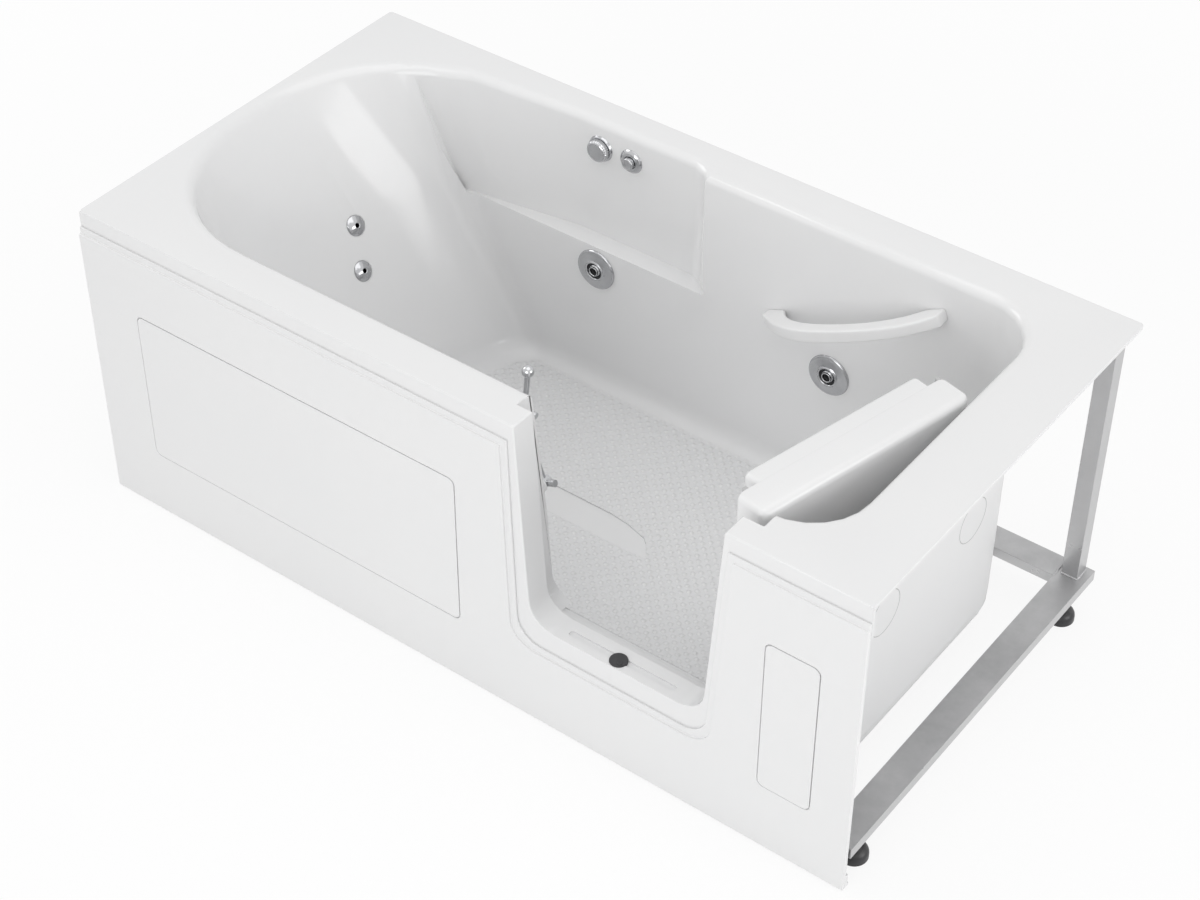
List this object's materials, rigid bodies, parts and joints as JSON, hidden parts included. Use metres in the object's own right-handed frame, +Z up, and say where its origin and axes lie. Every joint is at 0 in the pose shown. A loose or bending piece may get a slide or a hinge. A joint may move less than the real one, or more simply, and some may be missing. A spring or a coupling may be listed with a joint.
{
  "type": "walk-in jetted bathtub",
  "caption": "Long walk-in bathtub with an inward-swinging door in its panelled front apron, a sloped backrest, chromed water jets, a bowed grab bar and a steel base frame.",
  "frame": {"origin": "middle of the tub's footprint at floor level, under the levelling feet", "axes": "+X along the tub towards the door and foot end, +Y from the apron towards the wall, +Z up"},
  "size_m": [1.524, 0.7874, 0.5956],
  "materials": {
    "white_acrylic": "gloss acrylic",
    "apron_white": "satin gloss acrylic",
    "door_white": "gloss acrylic",
    "white_plastic": "satin moulded plastic",
    "chrome": "polished",
    "frame_steel": "grey powder coat",
    "zinc_hardware": "plated",
    "seal_rubber": "matt",
    "plug_rubber": "matt",
    "fitting_plastic": "moulded",
    "foot_black": "satin moulded",
    "shelf_board": "bare board",
    "motor_metal": "painted cast housing",
    "pump_plastic": "moulded",
    "pipe_plastic": "extruded",
    "hose_rubber": "matt"
  },
  "bodies": {
    "tub": {"tub_shell": "white_acrylic", "front_apron": "apron_white", "hinge_lug_upper": "zinc_hardware", "hinge_lug_lower": "zinc_hardware", "hinge_pins": "zinc_hardware", "latch_boss_upper": "white_plastic", "latch_boss_lower": "white_plastic", "latch_pins": "zinc_hardware", "grab_bar": "white_plastic", "grab_bar_studs": "zinc_hardware", "jet_faceplate_left": "chrome", "jet_faceplate_right": "chrome", "jet_body_left": "fitting_plastic", "jet_body_right": "fitting_plastic", "back_jet_upper": "chrome", "back_jet_lower": "chrome", "air_control_base": "chrome", "button_surround": "chrome", "fitting_nuts": "zinc_hardware", "floor_drain": "chrome", "suction_fitting": "chrome", "end_wall_discs": "white_acrylic", "rail_front": "frame_steel", "rail_back": "frame_steel", "rail_head_end": "frame_steel", "rail_foot_end": "frame_steel", "post_front_left": "frame_steel", "post_front_right": "frame_steel", "post_back_left": "frame_steel", "post_back_right": "frame_steel", "foot_lock_nuts": "zinc_hardware", "pump_shelf": "shelf_board", "pump_motor": "motor_metal", "pump_wet_end": "pump_plastic", "suction_pipe": "pipe_plastic", "pressure_pipe": "pipe_plastic", "back_jet_hoses": "hose_rubber", "air_tube": "hose_rubber"},
    "door": {"door_panel": "door_white", "door_seal": "seal_rubber"},
    "upper_latch": {"latch_lever_upper": "chrome"},
    "lower_latch": {"latch_lever_lower": "chrome"},
    "left_nozzle": {"jet_nozzle_left": "chrome"},
    "right_nozzle": {"jet_nozzle_right": "chrome"},
    "air_knob": {"air_control_knob": "chrome"},
    "button": {"push_button": "chrome"},
    "large_panel": {"access_panel_large": "apron_white"},
    "small_panel": {"access_panel_small": "apron_white"},
    "stopper": {"drain_stopper": "chrome"},
    "plug": {"sill_plug": "plug_rubber"},
    "front_left_foot": {"foot_front_left": "foot_black"},
    "front_right_foot": {"foot_front_right": "foot_black"},
    "back_left_foot": {"foot_back_left": "foot_black"},
    "back_right_foot": {"foot_back_right": "foot_black"}
  },
  "joints": [
    {"name": "door_swing", "type": "hinge", "parent": "tub", "child": "door", "pos_m": [0.5216, -0.2967, 0.38], "axis": [0, 0, 1], "range_deg": [0, 103.5]},
    {"name": "upper_latch_turn", "type": "hinge", "parent": "tub", "child": "upper_latch", "pos_m": [0.063, -0.2642, 0.506], "axis": [0, 1, 0], "range_deg": [0, 84]},
    {"name": "lower_latch_turn", "type": "hinge", "parent": "tub", "child": "lower_latch", "pos_m": [0.1, -0.2642, 0.378], "axis": [0, 1, 0], "range_deg": [0, 111]},
    {"name": "left_nozzle_aim", "type": "hinge", "parent": "tub", "child": "left_nozzle", "pos_m": [-0.222, 0.2977, 0.31], "axis": [0, 0, 1], "range_deg": [-15, 15]},
    {"name": "right_nozzle_aim", "type": "hinge", "parent": "tub", "child": "right_nozzle", "pos_m": [0.267, 0.2977, 0.31], "axis": [0, 0, 1], "range_deg": [-15, 15]},
    {"name": "air_knob_turn", "type": "hinge", "parent": "tub", "child": "air_knob", "pos_m": [-0.241, 0.33, 0.538], "axis": [0, -1, 0], "range_deg": [0, 180]},
    {"name": "button_press", "type": "slide", "parent": "tub", "child": "button", "axis": [0, 1, 0], "range_m": [0, 0.004], "stiffness_N_per_m": 300},
    {"name": "large_panel_pull", "type": "slide", "parent": "tub", "child": "large_panel", "axis": [0, -1, 0], "range_m": [0, 0.06]},
    {"name": "small_panel_pull", "type": "slide", "parent": "tub", "child": "small_panel", "axis": [0, -1, 0], "range_m": [0, 0.06]},
    {"name": "stopper_lift", "type": "slide", "parent": "tub", "child": "stopper", "axis": [0, 0, 1], "range_m": [0, 0.008]},
    {"name": "plug_pull", "type": "slide", "parent": "tub", "child": "plug", "axis": [0, 0, 1], "range_m": [0, 0.006]},
    {"name": "front_left_foot_turn", "type": "hinge", "parent": "tub", "child": "front_left_foot", "pos_m": [-0.736, -0.3217, 0.05], "axis": [0, 0, 1], "continuous": true},
    {"name": "front_right_foot_turn", "type": "hinge", "parent": "tub", "child": "front_right_foot", "pos_m": [0.736, -0.3217, 0.05], "axis": [0, 0, 1], "continuous": true},
    {"name": "back_left_foot_turn", "type": "hinge", "parent": "tub", "child": "back_left_foot", "pos_m": [-0.736, 0.3217, 0.05], "axis": [0, 0, 1], "continuous": true},
    {"name": "back_right_foot_turn", "type": "hinge", "parent": "tub", "child": "back_right_foot", "pos_m": [0.736, 0.3217, 0.05], "axis": [0, 0, 1], "continuous": true}
  ]
}
